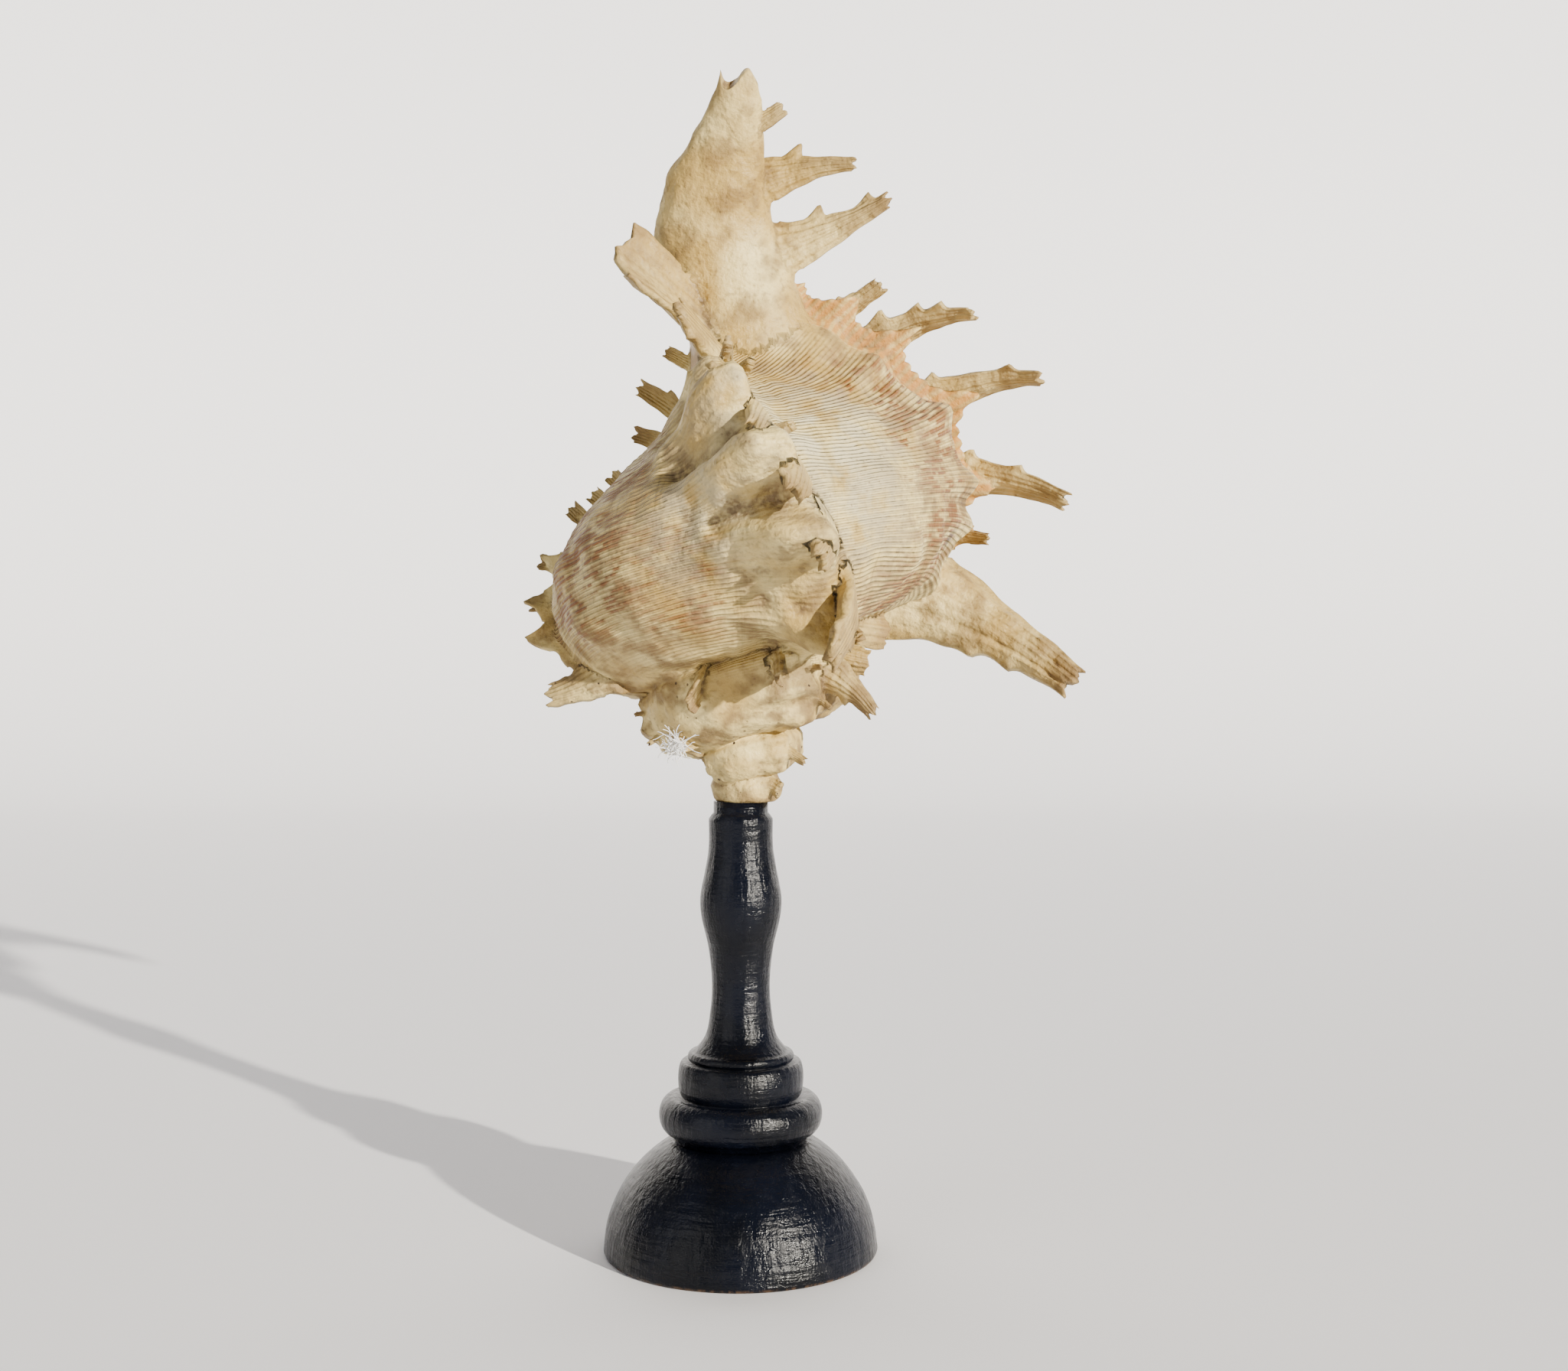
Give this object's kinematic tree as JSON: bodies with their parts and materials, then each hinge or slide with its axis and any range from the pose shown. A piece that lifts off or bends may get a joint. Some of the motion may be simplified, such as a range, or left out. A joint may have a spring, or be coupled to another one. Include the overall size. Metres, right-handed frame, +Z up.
{
  "type": "murex shell on a turned stand",
  "caption": "Spiny ramose murex shell, mounted spire down and canal up on a turned wooden column with a dome foot painted black, as a desk display.",
  "frame": {"origin": "centre of the flat underside of the dome foot", "axes": "+Z up along the turned column; -Y towards the viewer, who sees the back of the shell with the outer lip to +X"},
  "size_m": [0.134, 0.107, 0.2627],
  "materials": {
    "shell": "chalky cream lime with rust-brown spiral cords",
    "stand_paint": "turned wood under glossy black paint"
  },
  "bodies": {
    "root": {"shell": "shell", "turned_column": "stand_paint", "dome_foot": "stand_paint"}
  },
  "joints": []
}
